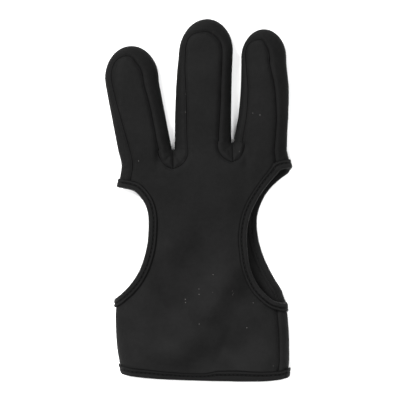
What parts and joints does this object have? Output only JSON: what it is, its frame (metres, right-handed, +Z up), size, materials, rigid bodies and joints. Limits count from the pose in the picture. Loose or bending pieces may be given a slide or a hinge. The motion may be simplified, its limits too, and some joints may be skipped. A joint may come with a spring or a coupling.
{
  "type": "archery glove",
  "caption": "Black stretch-cloth archery glove with finger stalls, half-moon openings at both sides of the palm and a short cuff, lying flat on its back",
  "frame": {"origin": "under the middle of the glove's bounding box, on the surface that it lies on", "axes": "+X to the right as the glove is seen from above, +Y towards the fingertips, +Z up"},
  "size_m": [0.1218, 0.2344, 0.0186],
  "materials": {
    "cloth": "matte fine knit",
    "side_cloth": "matte fine knit",
    "tape": "fine ribbed folded tape"
  },
  "bodies": {
    "root": {"front_panel": "cloth", "back_panel": "cloth", "left_finger_gusset": "side_cloth", "middle_finger_gusset": "side_cloth", "right_finger_gusset": "side_cloth", "left_opening_binding": "tape", "right_opening_binding": "tape", "cuff_hem": "tape"}
  },
  "joints": []
}
